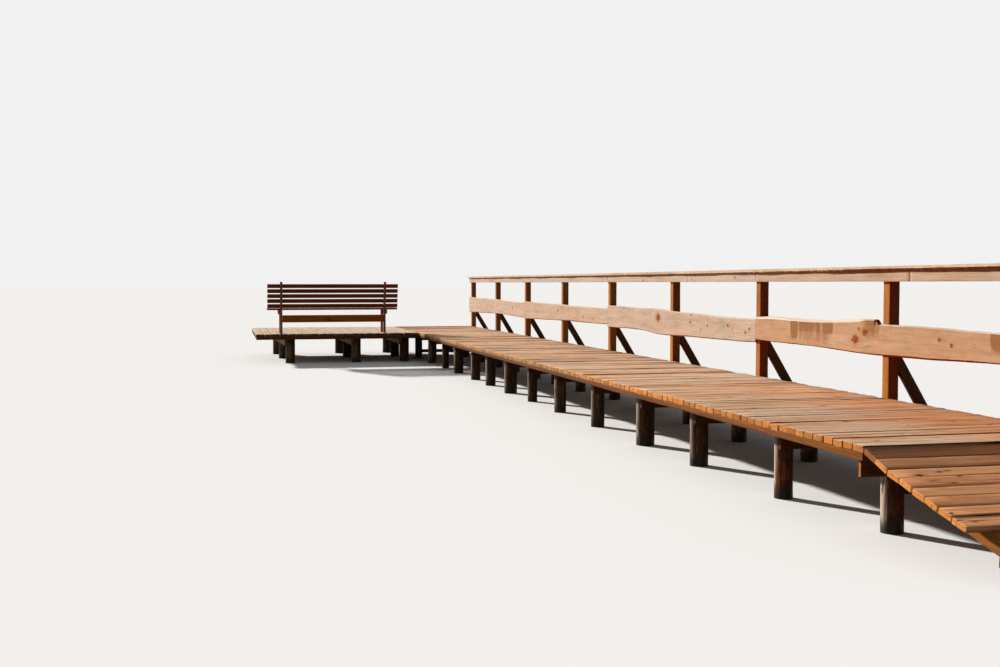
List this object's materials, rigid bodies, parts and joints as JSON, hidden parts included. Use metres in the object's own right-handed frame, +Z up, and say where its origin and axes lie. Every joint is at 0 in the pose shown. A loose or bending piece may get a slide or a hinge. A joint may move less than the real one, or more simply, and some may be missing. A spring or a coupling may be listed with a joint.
{
  "type": "wooden jetty",
  "caption": "Boarded lake jetty on log piles, with a live-edge rail along one side, a short shore ramp and a square bench platform at its lake end",
  "frame": {"origin": "Middle of the part's outer box in plan, at the foot of the piles, which is the water line.", "axes": "+Y runs along the walkway from the shore to the lake, +X to the rail side and out over the rail braces, +Z up."},
  "size_m": [5.3946, 20.5848, 1.699],
  "materials": {
    "deck_boards": "rough sawn, oiled, faded by the sun",
    "platform_boards": "rough sawn, oiled",
    "sunlit_rail_wood": "planed, unedged, oiled",
    "post_timber": "sawn, oiled",
    "frame_timber": "rough sawn, oiled",
    "log_wood": "barked round log, wet at the foot",
    "bench_slats": "planed, stained dark",
    "bench_timber": "planed, stained"
  },
  "bodies": {
    "root": {"deck_bay_1": "deck_boards", "deck_bay_2": "deck_boards", "deck_bay_3": "deck_boards", "deck_bay_4": "deck_boards", "deck_bay_5": "deck_boards", "deck_bay_6": "deck_boards", "deck_bay_7": "deck_boards", "deck_bay_8": "deck_boards", "stringer_open_side": "frame_timber", "stringer_middle": "frame_timber", "stringer_rail_side": "frame_timber", "crossbeams": "frame_timber", "post_beams": "frame_timber", "piles_open_side": "log_wood", "piles_rail_side": "log_wood", "pile_tie": "log_wood", "rail_posts": "post_timber", "post_braces": "frame_timber", "middle_rail_1": "sunlit_rail_wood", "middle_rail_2": "sunlit_rail_wood", "middle_rail_3": "sunlit_rail_wood", "middle_rail_4": "sunlit_rail_wood", "face_board_1": "sunlit_rail_wood", "face_board_2": "sunlit_rail_wood", "face_board_3": "sunlit_rail_wood", "face_board_4": "sunlit_rail_wood", "rail_cap_1": "sunlit_rail_wood", "rail_cap_2": "sunlit_rail_wood", "rail_cap_3": "sunlit_rail_wood", "rail_cap_4": "sunlit_rail_wood", "ramp_boards": "deck_boards", "ramp_joists": "frame_timber", "ramp_sill": "frame_timber", "ramp_stakes": "log_wood", "platform_boards": "platform_boards", "platform_bearers": "frame_timber", "platform_beams": "frame_timber", "platform_piles_left": "log_wood", "platform_piles_middle": "log_wood", "platform_piles_right": "log_wood", "bench_frame_left": "bench_timber", "bench_frame_right": "bench_timber", "bench_back": "bench_slats", "bench_seat": "bench_slats", "bench_stretcher": "bench_timber"}
  },
  "joints": []
}
